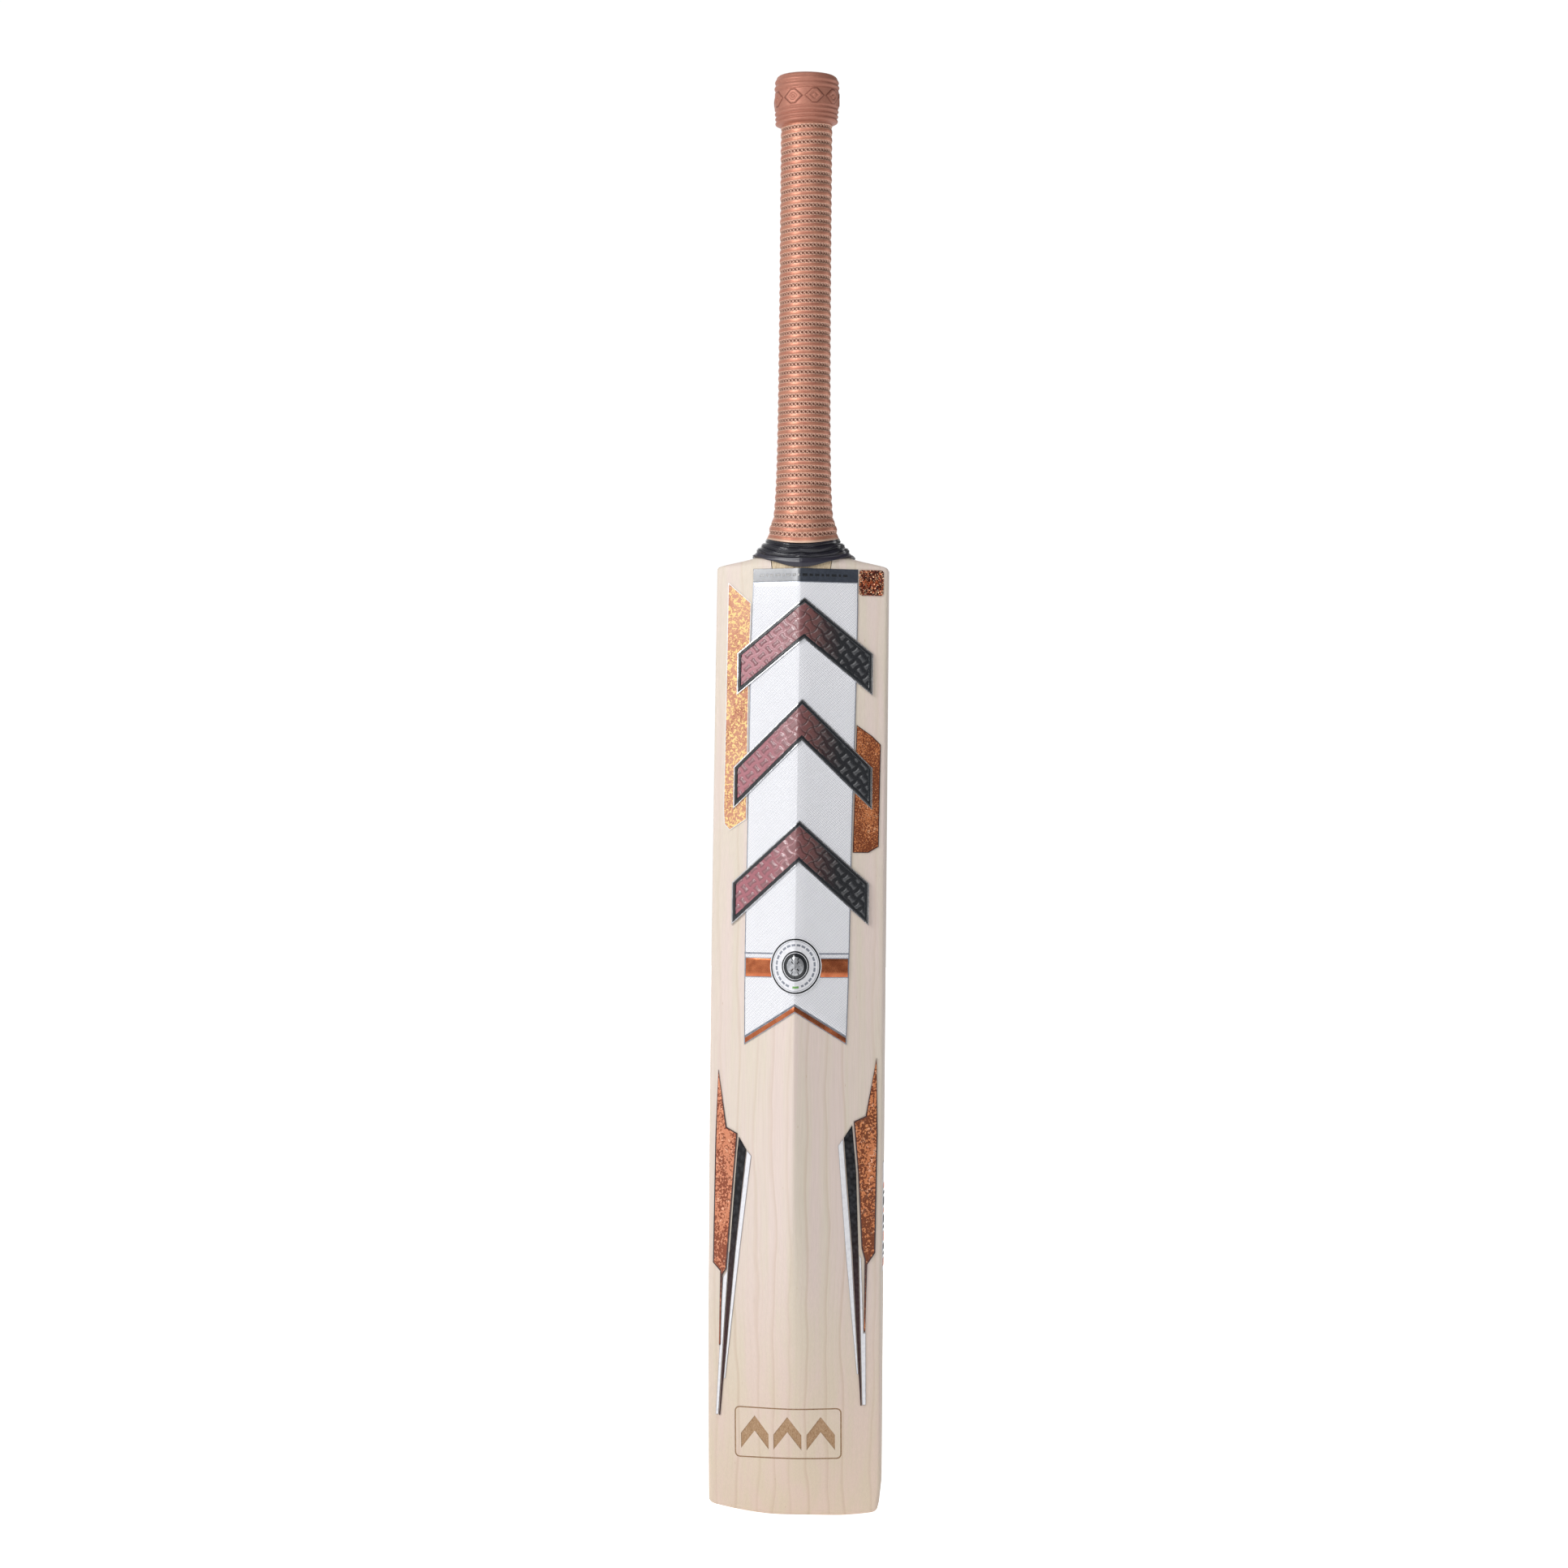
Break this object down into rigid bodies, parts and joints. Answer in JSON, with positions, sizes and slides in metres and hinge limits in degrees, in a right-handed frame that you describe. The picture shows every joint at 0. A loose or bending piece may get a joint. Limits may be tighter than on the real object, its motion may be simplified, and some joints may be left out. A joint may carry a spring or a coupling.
{
  "type": "cricket bat",
  "caption": "Adult cricket bat with a spined willow blade, spliced laminated cane handle, bound neck, ribbed rubber grip and plain sport graphics on the back.",
  "frame": {"origin": "centre of the bat's bounding box at the level of the toe", "axes": "+Z along the bat from toe to handle end, +Y out of the striking face, -Y out of the spined back, +X to the right when the back is looked at"},
  "size_m": [0.1031, 0.0691, 0.86],
  "materials": {
    "willow": "bare pressed willow, lightly oiled, straight grain",
    "cane": "planed cane with dark pores",
    "spring_rubber": "plain black sheet rubber",
    "twine": "waxed string, close wound",
    "binding_black": "gloss black over wound string",
    "grip_copper": "rose copper rubber, ribbed and cross-hatched, slight metallic sheen",
    "band_white": "gloss white film with a fine diagonal weave pressed in",
    "slate": "gloss dark slate film",
    "emblem_resin": "gloss raised resin, rose to black, with pressed cells",
    "copper_flake": "copper foil with dark and gold flakes",
    "copper_foil": "smooth copper foil",
    "badge_black": "gloss black film with silver print",
    "glitter": "dark copper-red glitter",
    "bar_black": "satin black film",
    "bar_white": "satin white film"
  },
  "bodies": {
    "root": {"blade": "willow", "cane_row1_left": "cane", "cane_row1_centre": "cane", "cane_row1_right": "cane", "cane_row2_left": "cane", "cane_row2_centre": "cane", "cane_row2_right": "cane", "cane_row3_left": "cane", "cane_row3_centre": "cane", "cane_row3_right": "cane", "cane_row4_left": "cane", "cane_row4_centre": "cane", "cane_row4_right": "cane", "rubber_strip_front": "spring_rubber", "rubber_strip_middle": "spring_rubber", "rubber_strip_back": "spring_rubber", "handle_twine": "twine", "neck_binding": "binding_black", "grip_sleeve": "grip_copper", "spine_band": "band_white", "top_bar": "slate", "emblem_upper": "emblem_resin", "emblem_middle": "emblem_resin", "emblem_lower": "emblem_resin", "flake_panel_left": "copper_flake", "flake_panel_right": "copper_flake", "stripe_left": "copper_foil", "stripe_right": "copper_foil", "round_badge": "badge_black", "swallowtail_stripe": "copper_foil", "square_badge": "glitter", "bolt_copper_left": "copper_flake", "bolt_copper_right": "copper_flake", "bolt_black_left": "bar_black", "bolt_black_right": "bar_black", "bolt_white_inner_left": "bar_white", "bolt_white_inner_right": "bar_white", "bolt_white_outer_left": "bar_white", "bolt_white_outer_right": "bar_white", "edge_sticker": "badge_black"}
  },
  "joints": []
}
